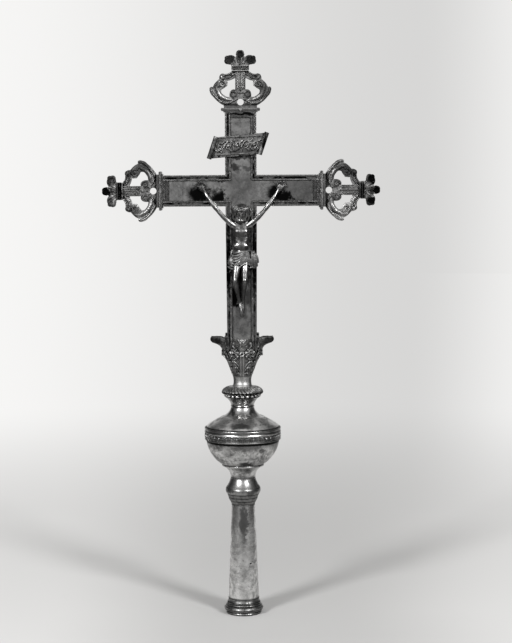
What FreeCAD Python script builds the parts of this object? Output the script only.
import FreeCAD, Part
import math
import os
import Sketcher

# Processional cross: a turned socket and knop carry a sheathed wooden cross with cast finials.
# Millimetres. The origin is the centre of the foot, +Z is up and the figure faces -Y.

V = FreeCAD.Vector
doc = FreeCAD.newDocument("processional_cross")
sheet = doc.addObject("Spreadsheet::Sheet", "dims")

SIZES = (
    # clearances and fasteners
    ("solder_gap", 0.05, "radial gap of a soldered or pinned joint"),
    ("running_gap", 0.08, "radial gap of the tie rod in its two bearings"),
    ("loose_gap", 0.6, "radial gap of the tie rod everywhere else in the stem"),
    ("nail_radius", 0.8, "shank of the nails, studs and cap pins"),
    ("nail_head_radius", 1.6, "head of the nails, studs and cap pins"),
    ("nail_head_height", 0.9, "height of those heads"),
    ("nail_bite", 3.0, "how far a nail goes into the wood"),
    # base ring and socket
    ("mouth_radius", 14.5, "bore that takes the staff end"),
    ("mouth_depth", 18.0, "cylindrical length of that bore"),
    ("tube_foot_radius", 16.8, "socket tube outside, at the bottom"),
    ("tube_top_radius", 12.9, "socket tube outside, at the collar"),
    ("tube_top_bore", 10.8, "socket tube inside, at the top"),
    ("tube_top_height", 123.0, "length of the tube up to the collar"),
    ("tube_spigot_radius", 12.0, "end of the tube that enters the collar"),
    ("tube_spigot_length", 8.0, "length of that end"),
    ("pin_hole_radius", 1.0, "hole for the staff's locking pin"),
    ("pin_hole_height", 57.9, "height of that hole"),
    ("pin_hole_turn", 31.0, "how far that hole lies round from the front, in degrees"),
    ("ring_foot_radius", 18.9, "base ring where it stands"),
    ("ring_bead_height", 2.9, "height of the lowest bead"),
    ("ring_bead_rise", 0.9, "bulge of the lowest bead"),
    ("ring_torus_radius", 19.5, "edges of the big torus"),
    ("ring_torus_rise", 2.2, "bulge of the big torus"),
    ("ring_torus_gap", 0.5, "groove between the lowest bead and the torus"),
    ("ring_torus_length", 5.8, "height of the torus itself"),
    ("ring_fillet_radius", 18.8, "lower thin fillet"),
    ("ring_fillet_length", 2.1, "height of the lower thin fillet itself"),
    ("ring_neck_radius", 18.0, "upper thin fillet"),
    ("ring_neck_length", 2.1, "height of the upper thin fillet itself"),
    ("ring_lip_radius", 17.2, "upper edge of the base ring"),
    ("ring_lip_length", 4.2, "hollow slope above the upper thin fillet"),
    ("thin_rise", 0.4, "bulge of every thin fillet"),
    # collar and inner floor
    ("collar_foot_radius", 14.0, "collar, lower edge"),
    ("collar_cove_radius", 16.2, "collar, below the torus"),
    ("collar_foot_length", 3.0, "collar, height of its thin lower fillet"),
    ("collar_cove_length", 4.6, "from that fillet to there"),
    ("collar_torus_radius", 17.6, "collar, edges of the torus"),
    ("collar_slope_length", 4.0, "from the cove to the torus"),
    ("collar_torus_length", 8.8, "height of the torus itself"),
    ("collar_torus_rise", 1.8, "bulge of the torus"),
    ("collar_top_radius", 13.8, "collar, upper edge"),
    ("collar_fall_length", 8.6, "from the torus to the upper edge"),
    ("floor_thickness", 3.0, "disc that the nut pulls against"),
    # knop
    ("knop_wall", 1.5, "wall of the raised knop shells"),
    ("foot_lip_radius", 23.0, "knop foot, upper lip"),
    ("foot_length", 14.0, "knop foot, from the collar to its lip"),
    ("foot_lip_length", 2.2, "height of the lip itself"),
    ("foot_cove", 3.0, "hollow of the knop foot"),
    ("bowl_foot_radius", 23.7, "bowl, lower edge"),
    ("bowl_rim_radius", 40.4, "bowl, upper edge"),
    ("bowl_length", 27.2, "height of the bowl itself"),
    ("bowl_rise", 3.6, "bulge of the bowl"),
    ("frieze_edge_radius", 41.2, "frieze, edges of both beads"),
    ("frieze_bead_rise", 1.2, "bulge of those beads"),
    ("frieze_bead_height", 3.0, "height of each bead"),
    ("frieze_band_radius", 41.6, "frieze, plain ground"),
    ("frieze_band_length", 8.0, "height of the plain ground between the beads"),
    ("tongue_count", 44, "upright leaves round the frieze"),
    ("tongue_radius", 1.0, "half width of one leaf"),
    ("tongue_relief", 1.2, "how far the leaves stand out"),
    ("tongue_margin", 0.9, "bare ground above and below the leaves"),
    ("shoulder_rim_radius", 40.9, "shoulder, lower edge"),
    ("shoulder_turn_radius", 35.0, "shoulder, where it starts to fall in"),
    ("shoulder_rim_length", 4.7, "from the frieze to there"),
    ("shoulder_slope_radius", 23.4, "shoulder, where the neck starts"),
    ("shoulder_slope_length", 6.7, "from the turn to there"),
    ("shoulder_cove", 2.0, "hollow of the neck"),
    ("neck_radius", 12.7, "narrowest part of the neck"),
    ("neck_length", 10.2, "from the slope to the neck's seam"),
    ("neck_bead_height", 2.6, "height of the neck bead"),
    ("neck_flare_radius", 19.8, "neck ring under the gadroons"),
    ("neck_ring_length", 12.0, "height of the neck ring itself"),
    ("neck_flare_cove", 1.3, "hollow of the neck ring"),
    # gadroon ring
    ("gadroon_count", 28, "gadroons and beads round the ring"),
    ("gadroon_edge_radius", 21.2, "gadroon ring, lower edge of the swell"),
    ("gadroon_edge_length", 1.4, "from the neck ring to there"),
    ("gadroon_swell_length", 10.1, "from there to the flat top"),
    ("gadroon_rise", 3.1, "bulge of the ring"),
    ("gadroon_top_radius", 17.4, "gadroon ring, flat top"),
    ("flute_radius", 1.5, "flutes between the gadroons"),
    ("flute_length", 16.0, "length of those flutes"),
    ("flute_reach", 22.5, "from the middle to the axis of a flute, at its middle"),
    ("flute_lift", 7.7, "that middle above the neck ring"),
    ("flute_lean", 20.6, "lean of the flutes, in degrees"),
    ("bead_radius", 1.3, "beads under the gadroons"),
    ("bead_circle", 20.4, "radius of the circle of beads"),
    # neck spool and calyx
    ("spool_radius", 10.7, "spool, both edges"),
    ("spool_cove", 1.0, "hollow of the spool"),
    ("spool_length", 11.5, "height of the spool itself"),
    ("cup_swell_radius", 15.0, "calyx cup, middle"),
    ("cup_foot_length", 15.0, "from the spool to there"),
    ("cup_shoulder_radius", 18.9, "calyx cup, under the leaves"),
    ("cup_swell_length", 9.0, "from the middle to there"),
    ("cup_rim_radius", 19.2, "calyx cup, rim"),
    ("cup_rim_length", 7.0, "from under the leaves to the rim"),
    ("leaf_thickness", 1.7, "calyx leaf, at its foot"),
    ("leaf_skirt", 8.0, "how far a leaf hangs below the rim"),
    ("leaf_half_width", 11.5, "calyx leaf, half width"),
    ("leaf_tip_radius", 34.0, "calyx leaf, reach of the tip"),
    ("leaf_tip_lift", 4.2, "the tip above the underside of the bend"),
    ("leaf_crest_radius", 27.0, "calyx leaf, highest point"),
    ("leaf_crest_lift", 4.8, "the crest above the tip"),
    ("leaf_hook", 2.2, "how far a leaf reaches in over the rim"),
    ("leaf_heel_drop", 1.6, "how far its inner edge lies below the crest"),
    ("leaf_bend_radius", 24.4, "calyx leaf, underside of the bend"),
    ("leaf_bend_lift", 3.8, "that underside above the rim"),
    ("rosette_radius", 2.7, "rosettes that pin the leaves"),
    ("rosette_drop", 5.2, "how far the rosettes lie below the rim"),
    ("rosette_face", 22.8, "reach of the rosettes"),
    ("rosette_shank", 3.4, "length of a rosette's pin"),
    ("rib_count", 16, "hollows round the calyx cup"),
    ("rib_radius", 1.8, "radius of those hollows"),
    ("rib_length", 26.0, "length of those hollows"),
    ("rib_reach", 15.1, "from the middle to the axis of a hollow, at its middle"),
    ("rib_lift", 12.0, "that middle above the spool"),
    ("rib_lean", -17.0, "lean of the hollows, in degrees"),
    # tie rod
    ("rod_radius", 3.0, "iron rod through the stem"),
    ("rod_drop", 5.0, "how far the rod hangs below the collar"),
    ("rod_bite", 24.0, "length of the rod in the wooden foot"),
    ("washer_radius", 8.5, "washer"),
    ("washer_thickness", 1.6, "washer"),
    ("nut_half_flat", 5.0, "half the width across the nut's flats"),
    ("nut_thickness", 5.0, "nut"),
    # cross
    ("limb_length", 181.5, "lower limb, from its foot to the centre of the crossing"),
    ("arm_reach", 85.0, "from the crossing to each cap"),
    ("bar_half", 17.1, "half width of the bars"),
    ("limb_foot_half", 16.1, "half width of the lower limb at its foot"),
    ("limb_bite", 9.0, "how deep the lower limb stands in the cup"),
    ("core_thickness", 9.0, "wooden core"),
    ("plate_thickness", 0.8, "plates on both faces"),
    ("strip_thickness", 0.8, "strips round the edges"),
    ("moulding_width", 6.0, "whole width of the moulding"),
    ("moulding_base", 0.6, "height of the moulding's groove"),
    ("rim_width", 2.2, "outer rim of the moulding"),
    ("rim_height", 1.9, "height of the rim"),
    ("rim_round", 0.5, "rounding of the rim"),
    ("inner_bead_width", 1.4, "inner bead of the moulding"),
    ("inner_bead_height", 1.4, "height of the inner bead"),
    # end caps
    ("cap_step_half", 18.6, "half width of the cap's lower step"),
    ("cap_step_height", 1.3, "height of that step"),
    ("cap_bar_half", 21.2, "half width of the cap's bar"),
    ("cap_bar_height", 3.2, "height of the bar"),
    ("cap_bar_round", 1.1, "rounding of the bar"),
    ("cap_top_half", 18.0, "half width of the cap's upper step"),
    ("cap_height", 7.0, "whole height of a cap"),
    ("cap_overhang", 2.2, "how far the cap stands out over the moulding"),
    # finials
    ("finial_half_width", 33.3, "reach of the outer scrolls"),
    ("finial_height", 59.7, "from the cap to the tip"),
    ("finial_thickness", 5.0, "thickness of the scrolls"),
    ("finial_stem_half", 5.2, "half width of the stem"),
    ("finial_stem_thickness", 7.6, "thickness of the stem"),
    ("finial_collar_half", 9.6, "half width of the collar"),
    ("finial_collar_low", 38.2, "height of the collar's lower edge"),
    ("finial_collar_high", 43.8, "height of the collar's upper edge"),
    ("finial_collar_thickness", 9.0, "thickness of the collar"),
    ("finial_lobe_thickness", 7.6, "thickness of the palmette"),
    ("finial_hole_radius", 3.6, "round hole at the foot"),
    ("tang_half", 4.0, "half width of the tang"),
    ("tang_thickness", 3.0, "thickness of the tang"),
    ("tang_bite", 7.0, "length of the tang in the wood"),
    ("tang_end_gap", 0.4, "gap beyond the tang's end"),
    # titulus
    ("titulus_thickness", 1.2, "plate of the scroll"),
    ("titulus_shift", -3.0, "middle of the scroll, across"),
    ("titulus_lift", 48.7, "middle of the scroll, above the crossing"),
    ("titulus_half", 25.3, "half width of the plate, square to its rolls"),
    ("titulus_skew", 11.0, "how far each end lies above or below the middle"),
    ("titulus_half_height", 12.3, "half height of the plate"),
    ("titulus_lean", 18.9, "lean of the rolls, in degrees"),
    ("titulus_roll", 2.6, "outer radius of the rolled ends"),
    ("stud_lift", 43.5, "the titulus's stud above the crossing"),
    # figure
    ("figure_toe_drop", 140.5, "toes of the figure, below the crossing"),
    ("figure_height", 128.0, "from the toes to the crown"),
    ("figure_hand_span", 43.0, "from the middle to each palm"),
    ("figure_hand_lift", 3.0, "the palms above the crossing"),
    ("figure_depth", 5.4, "half depth of the chest"),
    ("figure_half_width", 7.9, "half width of the chest"),
    ("elbow_sag", 4.4, "how far an elbow hangs below the line from shoulder to palm"),
    ("hand_thickness", 2.6, "thickness of a palm"),
    ("feet_thickness", 7.0, "thickness of the crossed feet at the nail"),
    ("foot_nail_lift", 7.0, "the nail in the feet, above the toes"),
)

# Heights above the floor, each worked out in the sheet from the lengths above.
HEIGHTS = (
    ("ring_torus_low", "ring_bead_height + ring_torus_gap"),
    ("ring_torus_high", "ring_torus_low + ring_torus_length"),
    ("ring_fillet_height", "ring_torus_high + ring_fillet_length"),
    ("ring_neck_height", "ring_fillet_height + ring_neck_length"),
    ("ring_height", "ring_neck_height + ring_lip_length"),
    ("collar_foot_height", "tube_top_height + collar_foot_length"),
    ("collar_cove_height", "collar_foot_height + collar_cove_length"),
    ("collar_torus_low", "collar_cove_height + collar_slope_length"),
    ("collar_torus_high", "collar_torus_low + collar_torus_length"),
    ("collar_top_height", "collar_torus_high + collar_fall_length"),
    ("foot_lip_low", "collar_top_height + foot_length"),
    ("foot_lip_high", "foot_lip_low + foot_lip_length"),
    ("bowl_rim_height", "foot_lip_high + bowl_length"),
    ("band_low", "bowl_rim_height + frieze_bead_height"),
    ("band_high", "band_low + frieze_band_length"),
    ("frieze_high", "band_high + frieze_bead_height"),
    ("shoulder_turn_height", "frieze_high + shoulder_rim_length"),
    ("shoulder_slope_height", "shoulder_turn_height + shoulder_slope_length"),
    ("neck_height", "shoulder_slope_height + neck_length"),
    ("neck_flare_height", "neck_height + neck_ring_length"),
    ("flute_height", "neck_flare_height + flute_lift"),
    ("gadroon_edge_height", "neck_flare_height + gadroon_edge_length"),
    ("seam_height", "gadroon_edge_height + gadroon_swell_length"),
    ("spool_top_height", "seam_height + spool_length"),
    ("rib_height", "spool_top_height + rib_lift"),
    ("cup_swell_height", "spool_top_height + cup_foot_length"),
    ("cup_shoulder_height", "cup_swell_height + cup_swell_length"),
    ("cup_rim_height", "cup_shoulder_height + cup_rim_length"),
    ("leaf_foot_height", "cup_rim_height - leaf_skirt"),
    ("leaf_bend_height", "cup_rim_height + leaf_bend_lift"),
    ("leaf_tip_height", "leaf_bend_height + leaf_tip_lift"),
    ("leaf_crest_height", "leaf_tip_height + leaf_crest_lift"),
    ("rosette_height", "cup_rim_height - rosette_drop"),
    ("rod_low", "tube_top_height - rod_drop"),
    ("limb_foot_height", "cup_rim_height - limb_bite"),
    ("crossing_height", "limb_foot_height + limb_length"),
    ("titulus_height", "crossing_height + titulus_lift"),
    ("stud_height", "crossing_height + stud_lift"),
    ("figure_foot_height", "crossing_height - figure_toe_drop"),
    ("figure_hand_height", "crossing_height + figure_hand_lift"),
    ("foot_nail_height", "figure_foot_height + foot_nail_lift"),
)


class Size:
    """A length, with the text by which the document works it out from the sheet."""

    def __init__(self, value, text):
        self.value = value
        self.text = text

    def __add__(self, other):
        return joined(self, "+", other)

    def __radd__(self, other):
        return joined(other, "+", self)

    def __sub__(self, other):
        return joined(self, "-", other)

    def __rsub__(self, other):
        return joined(other, "-", self)

    def __mul__(self, other):
        return joined(self, "*", other)

    def __rmul__(self, other):
        return joined(other, "*", self)

    def __truediv__(self, other):
        return joined(self, "/", other)

    def __neg__(self):
        return joined(0, "-", self)


def as_size(number):
    """The number itself as a Size, so that sizes and numbers mix."""
    if isinstance(number, Size):
        return number
    return Size(float(number), repr(float(number)))


def joined(left, sign, right):
    """Two sizes put together by one of the four rules of arithmetic."""
    left = as_size(left)
    right = as_size(right)
    results = {
        "+": left.value + right.value,
        "-": left.value - right.value,
        "*": left.value * right.value,
    }
    value = results[sign] if sign in results else left.value / right.value
    return Size(value, "(" + left.text + " " + sign + " " + right.text + ")")


class Sizes:
    """The sizes by name."""


d = Sizes()
for row, (alias, value, meaning) in enumerate(SIZES, 1):
    sheet.set("A" + str(row), meaning)
    sheet.set("B" + str(row), str(value))
    sheet.setAlias("B" + str(row), alias)
    setattr(d, alias, Size(float(value), "dims." + alias))
for row, (alias, formula) in enumerate(HEIGHTS, len(SIZES) + 1):
    sheet.set("B" + str(row), "=" + formula)
    sheet.setAlias("B" + str(row), alias)
doc.recompute()
for alias, formula in HEIGHTS:
    setattr(d, alias, Size(float(sheet.get(alias)), "dims." + alias))

ZERO = as_size(0)
pieces = []


def new_body(label):
    """An empty body that is one piece of the cross."""
    body = doc.addObject("PartDesign::Body", label)
    body.Label = label
    pieces.append(body)
    return body


def place(body, x=None, y=None, z=None, axis=None, angle=0.0):
    """Puts a piece where it belongs, by sizes, after turning it about an axis."""
    if axis is not None:
        body.Placement = FreeCAD.Placement(V(0, 0, 0), FreeCAD.Rotation(axis, angle))
    for name, size in (("x", x), ("y", y), ("z", z)):
        if size is not None:
            body.setExpression("Placement.Base." + name, as_size(size).text)


def bind(sketch, index, size):
    """Ties one constraint of a sketch to the sheet."""
    if "dims." in size.text:
        sketch.setExpression("Constraints[" + str(index) + "]", size.text)


def arc_middle(start, stop, rise):
    """The middle of an arc that bulges by rise to the right of the way from start to stop."""
    way = stop.sub(start)
    side = V(way.y, -way.x, 0).multiply(1 / way.Length)
    return start.add(way.multiply(0.5)).add(side.multiply(rise))


def arc_radius(here, there, rise):
    """The radius of that arc, from the ends' coordinates and the rise."""
    across = there[0] - here[0]
    along = there[1] - here[1]
    return (across * across + along * along) / (8 * rise) + rise / 2


def add_loop(sketch, loop):
    """A closed outline: each corner is (x, y) or (x, y, rise of the arc to the next corner)."""
    corners = [tuple(as_size(item) for item in corner) for corner in loop]
    edges = []
    for index, corner in enumerate(corners):
        other = corners[(index + 1) % len(corners)]
        start = V(corner[0].value, corner[1].value, 0)
        stop = V(other[0].value, other[1].value, 0)
        if len(corner) == 2:
            edges.append((sketch.addGeometry(Part.LineSegment(start, stop), False), 1, 2))
            continue
        middle = arc_middle(start, V(stop), corner[2].value)
        curve = sketch.addGeometry(Part.Arc(start, middle, stop), False)
        forward = sketch.getPoint(curve, 1).sub(start).Length < sketch.getPoint(curve, 2).sub(start).Length
        edges.append((curve, 1, 2) if forward else (curve, 2, 1))
    for index, (curve, first, last) in enumerate(edges):
        following = edges[(index + 1) % len(edges)]
        sketch.addConstraint(Sketcher.Constraint("Coincident", curve, last, following[0], following[1]))
    for (curve, first, last), corner in zip(edges, corners):
        for kind, size in (("DistanceX", corner[0]), ("DistanceY", corner[1])):
            bind(sketch, sketch.addConstraint(Sketcher.Constraint(kind, curve, first, size.value)), size)
    for index, corner in enumerate(corners):
        if len(corner) == 3:
            other = corners[(index + 1) % len(corners)]
            radius = arc_radius(corner, other, rise_size(corner[2]))
            rule = Sketcher.Constraint("Radius", edges[index][0], radius.value)
            bind(sketch, sketch.addConstraint(rule), radius)


def rise_size(rise):
    """The rise without its sign, as the radius needs it."""
    return rise if rise.value > 0 else -rise


def add_circle(sketch, circle):
    """A circle (x, y, radius)."""
    x, y, radius = (as_size(item) for item in circle)
    curve = sketch.addGeometry(Part.Circle(V(x.value, y.value, 0), V(0, 0, 1), radius.value), False)
    for kind, size in (("DistanceX", x), ("DistanceY", y)):
        bind(sketch, sketch.addConstraint(Sketcher.Constraint(kind, curve, 3, size.value)), size)
    bind(sketch, sketch.addConstraint(Sketcher.Constraint("Radius", curve, radius.value)), radius)


def sketch_on(body, name, plane, loops, circles=(), offset=ZERO):
    """A dimensioned sketch on one of the body's own origin planes."""
    sketch = body.newObject("Sketcher::SketchObject", body.Label + "_" + name)
    face = [item for item in body.Origin.OriginFeatures if item.Role == plane][0]
    sketch.AttachmentSupport = (face, [""])
    sketch.MapMode = "FlatFace"
    if "dims." in offset.text:
        sketch.setExpression("AttachmentOffset.Base.z", offset.text)
    for loop in loops:
        add_loop(sketch, loop)
    for circle in circles:
        add_circle(sketch, circle)
    return sketch


def revolve(body, name, loop, kind="Revolution"):
    """Turns a profile of (radius, height) about the upright axis."""
    sketch = sketch_on(body, name + "_profile", "XZ_Plane", [loop])
    feature = body.newObject("PartDesign::" + kind, body.Label + "_" + name)
    feature.Profile = (sketch, [""])
    feature.ReferenceAxis = (sketch, ["V_Axis"])
    feature.Angle = 360
    return feature


def pad(body, name, plane, near, far, loops=(), circles=()):
    """Material between two distances along the plane's own normal."""
    near = as_size(near)
    sketch = sketch_on(body, name + "_outline", plane, loops, circles, near)
    feature = body.newObject("PartDesign::Pad", body.Label + "_" + name)
    feature.Profile = (sketch, [""])
    feature.setExpression("Length", (far - near).text)
    return feature


def cut(body, name, plane, near, far, loops=(), circles=()):
    """A pocket between two distances along the plane's own normal."""
    far = as_size(far)
    sketch = sketch_on(body, name + "_outline", plane, loops, circles, far)
    feature = body.newObject("PartDesign::Pocket", body.Label + "_" + name)
    feature.Profile = (sketch, [""])
    feature.setExpression("Length", (far - near).text)
    return feature


def round_edges(body, name, feature, radius, choose):
    """Rounds the edges of the last feature that choose picks."""
    doc.recompute()
    edges = feature.Shape.Edges
    names = ["Edge" + str(index) for index, edge in enumerate(edges, 1) if choose(edge)]
    rounding = body.newObject("PartDesign::Fillet", body.Label + "_" + name)
    rounding.Base = (feature, names)
    rounding.setExpression("Radius", radius.text)
    return rounding


def around(body, name, features, count):
    """Repeats features round the upright axis."""
    pattern = body.newObject("PartDesign::PolarPattern", body.Label + "_" + name)
    pattern.Originals = features
    upright = [item for item in body.Origin.OriginFeatures if item.Role == "Z_Axis"][0]
    pattern.Axis = (upright, [""])
    pattern.Angle = 360
    pattern.setExpression("Occurrences", count.text)
    body.Tip = pattern
    return pattern


def flute(body, name, radius, length, reach, height, lean):
    """A round groove down the front of a turned piece, leaning inwards towards the top."""
    groove = body.newObject("PartDesign::SubtractiveCylinder", body.Label + "_" + name)
    groove.Placement = FreeCAD.Placement(V(0, 0, 0), FreeCAD.Rotation(V(1, 0, 0), -lean.value))
    groove.setExpression("Radius", radius.text)
    groove.setExpression("Height", length.text)
    level = math.sin(math.radians(lean.value))
    steep = math.cos(math.radians(lean.value))
    groove.setExpression("Placement.Base.y", (-reach - length * level / 2).text)
    groove.setExpression("Placement.Base.z", (height - length * steep / 2).text)
    return groove


def box_loop(x_low, x_high, y_low, y_high):
    """A rectangle."""
    return [(x_low, y_low), (x_high, y_low), (x_high, y_high), (x_low, y_high)]


def turned(label, loop):
    """A piece turned from one profile."""
    body = new_body(label)
    revolve(body, "turning", loop)
    return body


# Stem: everything that stays with the staff.

rod_loose = d.rod_radius + d.loose_gap
rod_bearing = d.rod_radius + d.running_gap
ring_bore = d.tube_foot_radius + d.solder_gap
bowl_foot = d.foot_lip_high
half_core = d.core_thickness / 2
panel_face = half_core + d.plate_thickness


def base_ring():
    body = turned("base_ring", [
        (ring_bore, 0),
        (d.ring_foot_radius, 0, d.ring_bead_rise),
        (d.ring_foot_radius, d.ring_bead_height),
        (d.ring_torus_radius, d.ring_torus_low, d.ring_torus_rise),
        (d.ring_torus_radius, d.ring_torus_high),
        (d.ring_fillet_radius, d.ring_torus_high + d.thin_rise / 2, d.thin_rise),
        (d.ring_fillet_radius, d.ring_fillet_height),
        (d.ring_neck_radius, d.ring_fillet_height + d.thin_rise / 2, d.thin_rise),
        (d.ring_neck_radius, d.ring_neck_height, -d.thin_rise),
        (d.ring_lip_radius, d.ring_height),
        (ring_bore, d.ring_height),
    ])
    return body


def socket_tube():
    top = d.tube_top_height
    body = turned("socket_tube", [
        (d.mouth_radius, 0),
        (d.tube_foot_radius, 0),
        (d.tube_foot_radius, d.ring_height),
        (d.tube_top_radius, top),
        (d.tube_spigot_radius, top),
        (d.tube_spigot_radius, top + d.tube_spigot_length),
        (d.tube_top_bore, top + d.tube_spigot_length),
        (d.mouth_radius, d.mouth_depth),
    ])
    hole = body.newObject("PartDesign::SubtractiveCylinder", "socket_tube_pin_hole")
    turn = math.radians(d.pin_hole_turn.value)
    way = V(math.sin(turn), -math.cos(turn), 0)
    hole.Placement = FreeCAD.Placement(V(0, 0, 0), FreeCAD.Rotation(V(0, 0, 1), way))
    hole.setExpression("Placement.Base.z", d.pin_hole_height.text)
    hole.setExpression("Radius", d.pin_hole_radius.text)
    hole.setExpression("Height", (2 * d.tube_foot_radius).text)
    return body


def socket_collar():
    seat = d.tube_top_height + d.tube_spigot_length + d.floor_thickness
    bore = d.tube_spigot_radius + d.solder_gap
    return turned("socket_collar", [
        (bore, d.tube_top_height),
        (d.tube_top_radius, d.tube_top_height),
        (d.collar_foot_radius, d.collar_foot_height, d.thin_rise),
        (d.collar_cove_radius, d.collar_cove_height),
        (d.collar_torus_radius, d.collar_torus_low, d.collar_torus_rise),
        (d.collar_torus_radius, d.collar_torus_high, -d.thin_rise),
        (d.collar_top_radius, d.collar_top_height),
        (rod_loose, d.collar_top_height),
        (rod_loose, seat),
        (bore, seat),
    ])


def socket_floor():
    low = d.tube_top_height + d.tube_spigot_length
    high = low + d.floor_thickness
    return turned("socket_floor", [
        (rod_bearing, low),
        (d.tube_spigot_radius, low),
        (d.tube_spigot_radius, high),
        (rod_bearing, high),
    ])


def knop_foot():
    return turned("knop_foot", [
        (rod_loose, d.collar_top_height),
        (d.collar_top_radius, d.collar_top_height, -d.foot_cove),
        (d.foot_lip_radius, d.foot_lip_low, d.thin_rise),
        (d.foot_lip_radius, d.foot_lip_high),
        (rod_loose, d.foot_lip_high),
    ])


def knop_bowl():
    wall = d.knop_wall
    return turned("knop_bowl", [
        (rod_loose, bowl_foot),
        (d.bowl_foot_radius, bowl_foot, d.bowl_rise),
        (d.bowl_rim_radius, d.bowl_rim_height),
        (d.bowl_rim_radius - wall, d.bowl_rim_height, -d.bowl_rise),
        (d.bowl_foot_radius - wall / 2, bowl_foot + wall),
        (rod_loose, bowl_foot + wall),
    ])


def knop_frieze():
    wall = d.knop_wall * 2
    inner = d.frieze_edge_radius - wall
    body = turned("knop_frieze", [
        (inner, d.bowl_rim_height),
        (d.frieze_edge_radius, d.bowl_rim_height, d.frieze_bead_rise),
        (d.frieze_edge_radius, d.band_low),
        (d.frieze_band_radius, d.band_low + d.thin_rise),
        (d.frieze_band_radius, d.band_high - d.thin_rise),
        (d.frieze_edge_radius, d.band_high, d.frieze_bead_rise),
        (d.frieze_edge_radius, d.frieze_high),
        (inner, d.frieze_high),
    ])
    low = d.band_low + d.tongue_margin
    high = d.band_high - d.tongue_margin - d.tongue_radius
    half = d.tongue_radius
    leaf = [(-half, low), (half, low), (half, high), (ZERO, high + half * 1.6), (-half, high)]
    tongue = pad(body, "tongue", "XZ_Plane", d.frieze_band_radius - wall / 2,
                 d.frieze_band_radius + d.tongue_relief, [leaf])
    around(body, "tongues", [tongue], d.tongue_count)
    return body


def knop_shoulder():
    wall = d.knop_wall
    return turned("knop_shoulder", [
        (d.shoulder_rim_radius - 2 * wall, d.frieze_high),
        (d.shoulder_rim_radius, d.frieze_high, d.thin_rise),
        (d.shoulder_turn_radius, d.shoulder_turn_height),
        (d.shoulder_slope_radius, d.shoulder_slope_height, -d.shoulder_cove),
        (d.neck_radius, d.neck_height),
        (rod_loose, d.neck_height),
        (rod_loose, d.neck_height - wall),
        (d.neck_radius - 2 * wall, d.neck_height - wall),
        (d.shoulder_slope_radius - 2 * wall, d.shoulder_slope_height - wall / 2),
        (d.shoulder_turn_radius - 2 * wall, d.shoulder_turn_height - wall),
    ])


def neck_ring():
    bead_high = d.neck_height + d.neck_bead_height
    return turned("neck_ring", [
        (rod_loose, d.neck_height),
        (d.neck_radius, d.neck_height, d.thin_rise),
        (d.neck_radius, bead_high, -d.neck_flare_cove),
        (d.neck_flare_radius, d.neck_flare_height),
        (rod_loose, d.neck_flare_height),
    ])


def gadroon_ring():
    foot = d.neck_flare_radius - d.bead_radius
    body = turned("gadroon_ring", [
        (rod_bearing, d.neck_flare_height),
        (foot, d.neck_flare_height),
        (d.gadroon_edge_radius, d.gadroon_edge_height, d.gadroon_rise),
        (d.gadroon_top_radius, d.seam_height),
        (rod_bearing, d.seam_height),
    ])
    groove = flute(body, "flute", d.flute_radius, d.flute_length, d.flute_reach, d.flute_height, d.flute_lean)
    around(body, "flutes", [groove], d.gadroon_count)
    bead = body.newObject("PartDesign::AdditiveSphere", "gadroon_ring_bead")
    bead.setExpression("Radius", d.bead_radius.text)
    bead.setExpression("Placement.Base.y", (-d.bead_circle).text)
    bead.setExpression("Placement.Base.z", (d.neck_flare_height + d.bead_radius * 1.1).text)
    around(body, "beads", [bead], d.gadroon_count)
    return body


# Head: everything that turns with the cross.


def neck_spool():
    return turned("neck_spool", [
        (d.rod_radius + d.solder_gap, d.seam_height),
        (d.spool_radius, d.seam_height, -d.spool_cove),
        (d.spool_radius, d.spool_top_height),
        (d.rod_radius + d.solder_gap, d.spool_top_height),
    ])


def limb_pocket():
    """The limb's outline with the joint's clearance, as the cup holds it."""
    half_wide = d.limb_foot_half + d.solder_gap * 4
    half_deep = panel_face + d.rim_height + d.solder_gap
    return box_loop(-half_wide, half_wide, -half_deep, half_deep)


def rosette_holes(body, name):
    """Holes for the four rosette pins."""
    far = d.rosette_face
    near = d.rosette_face - d.rosette_shank - d.nail_head_height
    hole = [(0, d.rosette_height, d.nail_radius + d.solder_gap)]
    feature = cut(body, name, "XZ_Plane", near, far, circles=hole)
    return feature


def calyx_cup():
    body = turned("calyx_cup", [
        (d.rod_radius + d.solder_gap, d.spool_top_height),
        (d.spool_radius, d.spool_top_height, d.thin_rise),
        (d.cup_swell_radius, d.cup_swell_height, -d.thin_rise),
        (d.cup_shoulder_radius, d.cup_shoulder_height),
        (d.cup_rim_radius, d.cup_rim_height),
        (d.rod_radius + d.solder_gap, d.cup_rim_height),
    ])
    rib = flute(body, "rib", d.rib_radius, d.rib_length, d.rib_reach, d.rib_height, d.rib_lean)
    around(body, "ribs", [rib], d.rib_count)
    cut(body, "socket", "XY_Plane", d.limb_foot_height, d.cup_rim_height + d.rim_height, [limb_pocket()])
    hole = rosette_holes(body, "rosette_hole")
    around(body, "rosette_holes", [hole], as_size(4))
    return body


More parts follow.
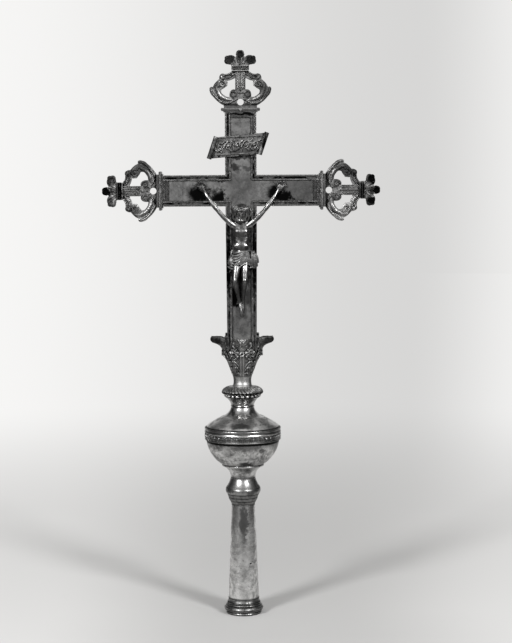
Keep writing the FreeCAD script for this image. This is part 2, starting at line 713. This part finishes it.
def calyx_leaf(label, angle):
    body = new_body(label)
    inner = d.cup_rim_radius + d.solder_gap
    outer = inner + d.leaf_thickness
    heel = d.cup_rim_radius - d.leaf_hook
    rim = d.cup_rim_height
    pad(body, "blade", "XZ_Plane", -d.leaf_half_width, d.leaf_half_width, [[
        (inner, d.leaf_foot_height),
        (outer, d.leaf_foot_height),
        (outer, rim, -d.leaf_thickness / 4),
        (d.leaf_bend_radius, d.leaf_bend_height, -d.thin_rise),
        (d.leaf_tip_radius - d.leaf_thickness, d.leaf_tip_height - d.leaf_thickness, d.thin_rise),
        (d.leaf_tip_radius, d.leaf_tip_height, d.leaf_thickness),
        (d.leaf_crest_radius, d.leaf_crest_height, -d.thin_rise),
        (heel, d.leaf_crest_height - d.leaf_heel_drop),
        (heel, rim),
        (inner, rim),
    ]])
    narrow = d.leaf_half_width * 0.55
    wide = d.leaf_half_width
    low = d.leaf_foot_height - d.leaf_thickness
    high = d.leaf_crest_height + d.leaf_thickness
    side = [
        (narrow, low),
        (narrow, d.leaf_foot_height, -d.leaf_thickness),
        (wide, d.leaf_bend_height, d.leaf_thickness * 2),
        (d.leaf_thickness, high),
        (wide * 2, high),
        (wide * 2, low),
    ]
    for hand, name in ((1, "right_edge"), (-1, "left_edge")):
        loop = [(corner[0] * hand, corner[1]) + tuple(item * hand for item in corner[2:]) for corner in side]
        cut(body, name, "YZ_Plane", ZERO, d.leaf_tip_radius + d.leaf_thickness, [loop])
    cut(body, "pin_hole", "YZ_Plane", ZERO, d.leaf_tip_radius,
        circles=[(0, d.rosette_height, d.nail_radius + d.solder_gap)])
    place(body, axis=V(0, 0, 1), angle=angle)
    return body


def headed_pin(body, name, plane, x, y, near, far, head_radius):
    """A round pin between two distances along a plane's normal, with a head beyond the far one."""
    shank = pad(body, name + "_shank", plane, near, far, circles=[(x, y, d.nail_radius)])
    head = pad(body, name + "_head", plane, far, far + d.nail_head_height, circles=[(x, y, head_radius)])
    return [shank, head]


def rosettes():
    """Four domed rosettes whose pins hold the leaves to the cup."""
    body = new_body("calyx_rosettes")
    far = d.rosette_face - d.nail_head_height
    near = far - d.rosette_shank
    parts = headed_pin(body, "front", "XZ_Plane", ZERO, d.rosette_height, near, far, d.rosette_radius)
    around(body, "four", parts, as_size(4))
    return body


def tie_rod():
    body = new_body("tie_rod")
    top = d.limb_foot_height + d.rod_bite
    pad(body, "shaft", "XY_Plane", d.rod_low, top, circles=[(0, 0, d.rod_radius)])
    return body


def tie_washer():
    body = new_body("tie_washer")
    high = d.tube_top_height + d.tube_spigot_length
    bore = d.rod_radius + d.solder_gap
    pad(body, "disc", "XY_Plane", high - d.washer_thickness, high,
        circles=[(0, 0, d.washer_radius), (0, 0, bore)])
    return body


def tie_nut():
    body = new_body("tie_nut")
    high = d.tube_top_height + d.tube_spigot_length - d.washer_thickness
    corner = d.nut_half_flat / math.cos(math.pi / 6)
    points = []
    for step in range(6):
        angle = math.pi / 3 * step
        points.append((corner * math.cos(angle), corner * math.sin(angle)))
    pad(body, "hexagon", "XY_Plane", high - d.nut_thickness, high, [points],
        circles=[(0, 0, d.rod_radius + d.solder_gap)])
    return body


# Cross: a wooden core sheathed in plates, strips and mouldings.


def cross_outline(inset, end_inset=ZERO):
    """The outline of the bars, drawn in by inset all round and by end_inset more at the caps."""
    half = d.bar_half - inset
    foot = d.limb_foot_half - inset
    reach = d.arm_reach - end_inset
    low = d.limb_foot_height
    middle = d.crossing_height
    return [
        (foot, low),
        (half, middle - half),
        (reach, middle - half),
        (reach, middle + half),
        (half, middle + half),
        (half, middle + reach),
        (-half, middle + reach),
        (-half, middle + half),
        (-reach, middle + half),
        (-reach, middle - half),
        (-half, middle - half),
        (-foot, low),
    ]


def nail_holes(body, name, near, far):
    """Holes for the nails of the figure and of the titulus."""
    radius = d.nail_radius + d.solder_gap
    places = [
        (d.figure_hand_span, d.figure_hand_height, radius),
        (-d.figure_hand_span, d.figure_hand_height, radius),
        (0, d.foot_nail_height, radius),
        (0, d.stud_height, radius),
    ]
    return cut(body, name, "XZ_Plane", near, far, circles=places)


def cross_core():
    body = new_body("cross_core")
    pad(body, "board", "XZ_Plane", -half_core, half_core, [cross_outline(d.strip_thickness)])
    nail_holes(body, "nail_holes", half_core - d.nail_bite - d.tang_end_gap, half_core)
    hole = d.rod_radius + d.solder_gap
    top = d.limb_foot_height + d.rod_bite + d.tang_end_gap
    cut(body, "rod_hole", "XY_Plane", d.limb_foot_height, top, circles=[(0, 0, hole)])
    half_wide = d.tang_half + d.solder_gap
    half_deep = d.tang_thickness / 2 + d.solder_gap
    depth = d.tang_bite + d.tang_end_gap
    slot = box_loop(-half_wide, half_wide, -half_deep, half_deep)
    high = d.crossing_height + d.arm_reach
    cut(body, "top_mortise", "XY_Plane", high - depth, high, [slot])
    middle = d.crossing_height
    side_slot = box_loop(-half_deep, half_deep, middle - half_wide, middle + half_wide)
    reach = d.arm_reach
    cut(body, "right_mortise", "YZ_Plane", reach - depth, reach, [side_slot])
    cut(body, "left_mortise", "YZ_Plane", -reach, depth - reach, [side_slot])
    return body


def plate(label, near):
    body = new_body(label)
    pad(body, "sheet", "XZ_Plane", near, near + d.plate_thickness, [cross_outline(d.strip_thickness)])
    return body


def front_plate():
    body = plate("front_plate", half_core)
    nail_holes(body, "nail_holes", half_core, panel_face)
    return body


def moulding(label, side):
    """The frame of rim, groove and bead round one face of the cross."""
    body = new_body(label)
    bead_in = d.moulding_width
    bead_out = d.moulding_width - d.inner_bead_width
    bands = (
        ("groove", d.moulding_base, ZERO, bead_in),
        ("rim", d.rim_height, ZERO, d.rim_width),
        ("bead", d.inner_bead_height, bead_out, bead_in),
    )
    for name, height, outer, inner in bands:
        loops = [cross_outline(outer, outer), closed_inside(inner)]
        if outer is not ZERO:
            loops[0] = closed_inside(outer)
        pad(body, name, "XZ_Plane", panel_face, panel_face + height, loops)
    crest = panel_face + d.rim_height

    def on_rim(edge):
        box = edge.BoundBox
        return abs(box.YMin + crest.value) < 1e-6 and abs(box.YMax + crest.value) < 1e-6

    round_edges(body, "rim_round", body.Tip, d.rim_round, on_rim)
    if side < 0:
        place(body, axis=V(0, 0, 1), angle=180)
    return body


def closed_inside(inset):
    """The outline drawn in by inset, at the caps and at the foot too."""
    points = cross_outline(inset, inset)
    low = d.limb_foot_height + inset
    points[0] = (points[0][0], low)
    points[-1] = (points[-1][0], low)
    return points


def edge_strip(label, hand, upper):
    """One strip bent round an inner corner of the cross, from cap to cap or from cap to foot."""
    body = new_body(label)
    outer = d.bar_half
    inner = d.bar_half - d.strip_thickness
    reach = d.arm_reach
    middle = d.crossing_height
    if upper:
        points = [
            (outer, middle + reach), (outer, middle + outer), (reach, middle + outer),
            (reach, middle + inner), (inner, middle + inner), (inner, middle + reach),
        ]
    else:
        foot = d.limb_foot_half
        low = d.limb_foot_height
        points = [
            (foot, low), (outer, middle - outer), (reach, middle - outer),
            (reach, middle - inner), (inner, middle - inner), (foot - d.strip_thickness, low),
        ]
    points = [(x * hand, z) for x, z in points]
    pad(body, "bent_strip", "XZ_Plane", -panel_face, panel_face, [points])
    return body


def seat(body, where, lift=ZERO):
    """Turns a piece drawn standing on the top arm to the arm it belongs to."""
    reach = d.arm_reach + lift
    middle = d.crossing_height
    if where == "top":
        place(body, z=middle + reach)
    elif where == "right":
        place(body, x=reach, z=middle, axis=V(0, 1, 0), angle=90)
    else:
        place(body, x=-reach, z=middle, axis=V(0, 1, 0), angle=-90)


def end_cap(where):
    body = new_body("cap_" + where)
    deep = panel_face + d.rim_height
    bar_deep = deep + d.cap_overhang
    bar_low = d.cap_step_height
    bar_high = bar_low + d.cap_bar_height

    def slab(name, near, far, half_wide, half_deep):
        pad(body, name, "XY_Plane", near, far, [box_loop(-half_wide, half_wide, -half_deep, half_deep)])

    slab("lower_step", ZERO, bar_low, d.cap_step_half, deep + d.thin_rise)
    slab("bar", bar_low, bar_high, d.cap_bar_half, bar_deep)
    low = bar_low.value
    high = bar_high.value

    def on_bar(edge):
        box = edge.BoundBox
        level = box.ZLength < 1e-6 and (abs(box.ZMin - low) < 1e-6 or abs(box.ZMin - high) < 1e-6)
        wide = box.XMax - d.cap_step_half.value > 1e-3 or -box.XMin - d.cap_step_half.value > 1e-3
        return level and (wide or max(box.YMax, -box.YMin) > bar_deep.value - 1e-3)

    round_edges(body, "bar_round", body.Tip, d.cap_bar_round, on_bar)
    slab("upper_step", bar_high, d.cap_height, d.cap_top_half, deep)
    half_wide = d.tang_half + d.solder_gap
    half_deep = d.tang_thickness / 2 + d.solder_gap
    cut(body, "tang_slot", "XY_Plane", ZERO, d.cap_height, [box_loop(-half_wide, half_wide, -half_deep, half_deep)])
    pin = [(0, (bar_low + bar_high) / 2, d.nail_radius + d.solder_gap)]
    cut(body, "pin_hole", "XZ_Plane", -bar_deep, bar_deep, circles=pin)
    seat(body, where)
    return body


def cap_pins():
    """The pins that hold each finial's tang in its cap, three alike."""
    body = new_body("cap_pins")
    reach = d.arm_reach + d.cap_step_height + d.cap_bar_height / 2
    middle = d.crossing_height
    face = panel_face + d.rim_height + d.cap_overhang
    places = ((0, middle + reach), (reach, middle), (-reach, middle))
    pad(body, "shanks", "XZ_Plane", -face, face, circles=[(x, z, d.nail_radius) for x, z in places])
    heads = [(x, z, d.nail_head_radius) for x, z in places]
    pad(body, "front_heads", "XZ_Plane", face, face + d.nail_head_height, circles=heads)
    pad(body, "back_heads", "XZ_Plane", -face - d.nail_head_height, -face, circles=heads)
    return body


# The right half of a finial's outline: shares of its half width and of its height, and the
# bulge of the arc to the next point as a share of the half width.
FINIAL_HALF = (
    (0.525, 0.000, 0.030),
    (0.900, 0.172, 0.020),
    (1.000, 0.268, 0.020),
    (0.982, 0.338, 0.015),
    (0.900, 0.335, 0.035),
    (0.685, 0.470, 0.015),
    (0.670, 0.545, 0.050),
    (0.500, 0.566, -0.030),
)
FINIAL_LOBES = (
    (0.290, 0.757, 0.020),
    (0.400, 0.752, 0.065),
    (0.500, 0.840, 0.050),
    (0.400, 0.902, 0.040),
    (0.160, 0.880, -0.010),
    (0.125, 0.905, 0.015),
    (0.128, 0.945, 0.045),
)
FINIAL_OPENING = (
    (0.150, 0.510, 0.000),
    (0.150, 0.296, -0.020),
    (0.290, 0.225, -0.015),
    (0.335, 0.160, 0.015),
    (0.530, 0.180, 0.030),
    (0.625, 0.250, 0.015),
    (0.600, 0.300, -0.010),
    (0.480, 0.345, -0.030),
    (0.425, 0.400, -0.020),
    (0.440, 0.450, -0.020),
)


def finial_points(shares, hand):
    """Corners of the outline from shares, on one side."""
    wide = d.finial_half_width * hand
    points = []
    for across, along, bulge in shares:
        corner = (wide * across, d.finial_height * along)
        points.append(corner + (wide * bulge,) if bulge else corner)
    return points


def both_sides(right, crown):
    """A whole outline from its right half and the point on the middle line where that half ends."""
    left = []
    for index in reversed(range(len(right))):
        rise = right[index - 1][2:] if index else ()
        left.append((-right[index][0], right[index][1]) + rise)
    return right + [crown + right[-1][2:]] + left


def finial(where):
    body = new_body("finial_" + where)
    half = d.finial_thickness / 2
    collar_half = d.finial_collar_half
    crown = (ZERO, d.finial_height)
    side = finial_points(FINIAL_HALF, 1)
    side += [(collar_half * 0.9, d.finial_collar_low), (collar_half, d.finial_collar_low + d.thin_rise)]
    side += [(collar_half, d.finial_collar_high)]
    side += finial_points(FINIAL_LOBES, 1)
    pad(body, "scrolls", "XZ_Plane", -half, half, [both_sides(side, crown)])
    for hand, name in ((1, "right_opening"), (-1, "left_opening")):
        cut(body, name, "XZ_Plane", -half, half, [finial_points(FINIAL_OPENING, hand)])
    stem_half = d.finial_stem_thickness / 2
    stem_low = d.finial_height * FINIAL_OPENING[2][1]
    stem = box_loop(-d.finial_stem_half, d.finial_stem_half, stem_low, d.finial_collar_high)
    pad(body, "stem", "XZ_Plane", -stem_half, stem_half, [stem])
    collar_deep = d.finial_collar_thickness / 2
    collar = box_loop(-collar_half, collar_half, d.finial_collar_low + d.thin_rise, d.finial_collar_high)
    pad(body, "collar", "XZ_Plane", -collar_deep, collar_deep, [collar])
    lobe_deep = d.finial_lobe_thickness / 2
    lobes = [(collar_half * 0.9, d.finial_collar_high)] + finial_points(FINIAL_LOBES, 1)
    pad(body, "palmette", "XZ_Plane", -lobe_deep, lobe_deep, [both_sides(lobes, crown)])
    cut(body, "foot_hole", "XZ_Plane", -half, half,
        circles=[(0, d.finial_hole_radius + d.thin_rise, d.finial_hole_radius)])
    tang_deep = d.tang_thickness / 2
    low = -d.cap_height - d.tang_bite
    tang = box_loop(-d.tang_half, d.tang_half, low, d.thin_rise)
    pad(body, "tang", "XZ_Plane", -tang_deep, tang_deep, [tang])
    pin = -d.cap_height + d.cap_step_height + d.cap_bar_height / 2
    cut(body, "pin_hole", "XZ_Plane", -tang_deep, tang_deep, circles=[(0, pin, d.nail_radius + d.solder_gap)])
    seat(body, where, d.cap_height)
    return body


def titulus():
    """The slanting scroll plate with rolled ends, its face left bare."""
    body = new_body("titulus")
    half = d.titulus_half
    skew = d.titulus_skew
    tall = d.titulus_half_height
    edge = half - d.titulus_thickness / 2
    pad(body, "plate", "XZ_Plane", ZERO, d.titulus_thickness, [[
        (-edge, -skew - tall), (edge, skew - tall), (edge, skew + tall), (-edge, tall - skew),
    ]])
    roll = d.titulus_roll
    bore = roll - d.titulus_thickness * 0.8
    axis = -roll - d.titulus_thickness / 8
    for hand, name in ((1, "right_roll"), (-1, "left_roll")):
        end = tall + d.thin_rise
        pad(body, name, "XY_Plane", skew * hand - end, skew * hand + end,
            circles=[(half * hand, axis, roll), (half * hand, axis, bore)])
    right = -d.titulus_shift
    down = d.titulus_height - d.stud_height
    lean = Size(math.radians(d.titulus_lean.value), "(" + d.titulus_lean.text + " * pi / 180)")
    level = Size(math.cos(lean.value), "cos(" + lean.text + " * 1rad)")
    steep = Size(math.sin(lean.value), "sin(" + lean.text + " * 1rad)")
    hole = [(right * level + down * steep, right * steep - down * level, d.nail_radius + d.solder_gap)]
    cut(body, "stud_hole", "XZ_Plane", ZERO, d.titulus_thickness, circles=hole)
    place(body, axis=V(0, 1, 0), angle=d.titulus_lean.value)
    body.setExpression("Placement.Rotation.Angle", d.titulus_lean.text + " * 1deg")
    place(body, x=d.titulus_shift, y=-(panel_face + d.rim_height), z=d.titulus_height)
    return body


def stud(label, places, face):
    """Nails with round heads, driven from the front into the wood."""
    body = new_body(label)
    near = half_core - d.nail_bite
    pad(body, "shanks", "XZ_Plane", near, face, circles=[(x, z, d.nail_radius) for x, z in places])
    heads = [(x, z, d.nail_head_radius) for x, z in places]
    pad(body, "heads", "XZ_Plane", face, face + d.nail_head_height, circles=heads)
    return body


# Figure: computed from the sheet's values, because its soft forms fit no sketch.

FIGURE_TORSO = (
    # share of the height, of the half width, of the depth
    (0.840, 0.40, 0.45),
    (0.805, 0.95, 0.75),
    (0.750, 1.00, 1.00),
    (0.680, 0.90, 0.95),
    (0.600, 0.72, 0.72),
    (0.540, 0.95, 0.90),
    (0.440, 0.85, 0.85),
)
FIGURE_CLOTH = (
    (0.580, 0.92, 0.80),
    (0.550, 1.60, 0.88),
    (0.500, 2.00, 0.92),
    (0.450, 1.75, 0.90),
    (0.415, 1.20, 0.85),
)
FIGURE_LEGS = (
    # across, up, forward and radius, as shares of the half width, height, depth and half width
    ((-0.60, 0.450, 1.20, 0.58), (-0.92, 0.330, 1.75, 0.44), (-0.25, 0.130, 0.75, 0.33)),
    ((0.60, 0.450, 1.20, 0.58), (0.42, 0.330, 1.75, 0.44), (0.10, 0.130, 0.75, 0.33)),
)


def soft_body(label, shape):
    """A cast piece whose surface is computed."""
    piece = doc.addObject("Part::Feature", label)
    piece.Label = label
    piece.Shape = shape
    pieces.append(piece)
    return piece


def figure_point(across, up, forward):
    """A point of the figure from shares of its sizes; forward counts from the panel."""
    wide = d.figure_half_width.value
    deep = d.figure_depth.value
    height = d.figure_foot_height.value + d.figure_height.value * up
    back = panel_face.value + d.solder_gap.value + deep
    return V(wide * across, -back - deep * (forward - 1), height)


def tapered(start, stop, start_radius, stop_radius):
    """A limb with round ends, turned about its own line."""
    long = stop.sub(start).Length
    first = Part.Arc(V(0, 0, -start_radius), V(start_radius * math.sqrt(0.5), 0, -start_radius * math.sqrt(0.5)),
                     V(start_radius, 0, 0))
    last = Part.Arc(V(stop_radius, 0, long), V(stop_radius * math.sqrt(0.5), 0, long + stop_radius * math.sqrt(0.5)),
                    V(0, 0, long + stop_radius))
    flank = Part.makeLine(V(start_radius, 0, 0), V(stop_radius, 0, long))
    axis = Part.makeLine(V(0, 0, long + stop_radius), V(0, 0, -start_radius))
    profile = Part.Face(Part.Wire([first.toShape(), flank, last.toShape(), axis]))
    shape = profile.revolve(V(0, 0, 0), V(0, 0, 1), 360)
    shape.Placement = FreeCAD.Placement(start, FreeCAD.Rotation(V(0, 0, 1), stop.sub(start)))
    return shape


def chained(points, radii):
    """A limb of several bones; each starts a little thinner than the last one ends."""
    shape = None
    for index in range(len(points) - 1):
        slim = radii[index] * (0.94 if index else 1)
        bone = tapered(points[index], points[index + 1], slim, radii[index + 1])
        shape = bone if shape is None else shape.fuse(bone)
    return shape


def skinned(sections):
    """A form through level ovals."""
    wires = []
    for up, wide, deep in sections:
        centre = figure_point(0, up, 1)
        across = d.figure_half_width.value * wide
        depth = d.figure_depth.value * deep
        points = []
        for step in range(16):
            angle = math.pi * step / 8
            points.append(centre.add(V(across * math.cos(angle), depth * math.sin(angle), 0)))
        oval = Part.BSplineCurve()
        oval.interpolate(Points=points, PeriodicFlag=True)
        wires.append(Part.Wire([oval.toShape()]))
    return Part.makeLoft(wires, True, True)


def figure_body_shape():
    """Torso, head, loincloth and crossed legs in one casting, drilled for the foot nail."""
    wide = d.figure_half_width.value
    shape = skinned(FIGURE_TORSO).fuse(skinned(FIGURE_CLOTH))
    head = figure_point(0, 0.906, 1.48)
    curve = Part.Ellipse(V(0, 0, 0), d.figure_height.value * 0.092, wide * 0.98).toShape(0, math.pi)
    skull = Part.Face(Part.Wire([curve, Part.makeLine(curve.lastVertex().Point, curve.firstVertex().Point)]))
    skull = skull.revolve(V(0, 0, 0), V(1, 0, 0), 360)
    skull.rotate(V(0, 0, 0), V(0, 1, 0), 90)
    skull.translate(head)
    shape = shape.fuse(skull)
    knot_top = figure_point(1.9, 0.54, 1.2)
    knot_end = figure_point(2.25, 0.43, 1.2)
    shape = shape.fuse(tapered(knot_top, knot_end, wide * 0.34, wide * 0.24))
    for hip, knee, ankle in FIGURE_LEGS:
        points = [figure_point(*joint[:3]) for joint in (hip, knee, ankle)]
        radii = [joint[3] * wide for joint in (hip, knee, ankle)]
        shape = shape.fuse(chained(points, radii))
    thick = d.feet_thickness.value / 2
    back = panel_face.value + d.solder_gap.value + thick
    heel = V(0, -back, figure_point(0, 0.13, 1).z)
    toe = V(0, -back, figure_point(0, 0, 1).z + thick * 0.8)
    shape = shape.fuse(tapered(heel, toe, thick, thick * 0.8))
    radius = d.nail_radius.value + d.solder_gap.value
    hole = Part.makeCylinder(radius, back * 4, V(0, 0, d.foot_nail_height.value), V(0, -1, 0))
    return shape.cut(hole)


def figure_arm_shape(hand, trunk):
    """One arm from the shoulder to the nailed palm."""
    wide = d.figure_half_width.value
    thick = d.hand_thickness.value
    shoulder = figure_point(1.05 * hand, 0.802, 1.05)
    palm_back = panel_face.value + d.solder_gap.value
    palm = V(d.figure_hand_span.value * hand, -palm_back - thick / 2, d.figure_hand_height.value)
    elbow = shoulder.add(palm.sub(shoulder).multiply(0.5))
    elbow = V(elbow.x, shoulder.y, elbow.z - d.elbow_sag.value)
    wrist = palm.add(elbow.sub(palm).normalize().multiply(thick * 2.4))
    wrist = V(wrist.x, palm.y - thick / 8, wrist.z)
    tip = palm.add(palm.sub(wrist).normalize().multiply(thick * 2.2))
    tip = V(tip.x, palm.y - thick / 8, tip.z)
    shape = chained([shoulder, elbow, wrist, palm], [wide * 0.38, wide * 0.30, wide * 0.21, thick * 0.38])
    disc = Part.makeCylinder(thick * 0.95, thick, V(palm.x, -palm_back, palm.z), V(0, -1, 0))
    fingers = tapered(palm, tip, thick * 0.4, thick * 0.3)
    shape = shape.fuse(fingers).fuse(disc)
    radius = d.nail_radius.value + d.solder_gap.value
    hole = Part.makeCylinder(radius, palm_back * 4, V(palm.x, 0, palm.z), V(0, -1, 0))
    return shape.cut(hole).cut(trunk)


def figure():
    trunk = figure_body_shape()
    soft_body("figure_body", trunk)
    soft_body("figure_arm_right", figure_arm_shape(1, trunk))
    soft_body("figure_arm_left", figure_arm_shape(-1, trunk))


base_ring()
socket_tube()
socket_collar()
socket_floor()
knop_foot()
knop_bowl()
knop_frieze()
knop_shoulder()
neck_ring()
gadroon_ring()
neck_spool()
calyx_cup()
for leaf, turn in (("right", 0), ("back", 90), ("left", 180), ("front", 270)):
    calyx_leaf("calyx_leaf_" + leaf, turn)
rosettes()
tie_rod()
tie_washer()
tie_nut()
cross_core()
front_plate()
plate("back_plate", -panel_face)
moulding("front_moulding", 1)
moulding("back_moulding", -1)
edge_strip("edge_strip_upper_right", 1, True)
edge_strip("edge_strip_upper_left", -1, True)
edge_strip("edge_strip_lower_right", 1, False)
edge_strip("edge_strip_lower_left", -1, False)
for arm in ("top", "right", "left"):
    end_cap(arm)
    finial(arm)
cap_pins()
titulus()
palm_face = panel_face + d.solder_gap + d.hand_thickness
feet_face = panel_face + d.solder_gap + d.feet_thickness
palms = [(d.figure_hand_span, d.figure_hand_height), (-d.figure_hand_span, d.figure_hand_height)]
stud("titulus_stud", [(ZERO, d.stud_height)], panel_face + d.rim_height + d.titulus_thickness)
stud("hand_nails", palms, palm_face)
stud("foot_nail", [(ZERO, d.foot_nail_height)], feet_face)
figure()

doc.recompute()
for item in doc.Objects:
    if "Invalid" in item.State or "Error" in item.State:
        raise RuntimeError(item.Name + " failed: " + ", ".join(item.State))
for piece in pieces:
    if piece.Shape.isNull() or not piece.Shape.isValid() or not piece.Shape.Solids:
        raise RuntimeError(piece.Label + " has no valid solid")

os.makedirs("parts", exist_ok=True)
for piece in pieces:
    piece.Shape.exportStep("parts/" + piece.Label + ".step")
    box = piece.Shape.BoundBox
    print(piece.Label, len(piece.Shape.Solids), round(piece.Shape.Volume), end=" ")
    print([round(edge, 2) for edge in (box.XMin, box.XMax, box.YMin, box.YMax, box.ZMin, box.ZMax)])
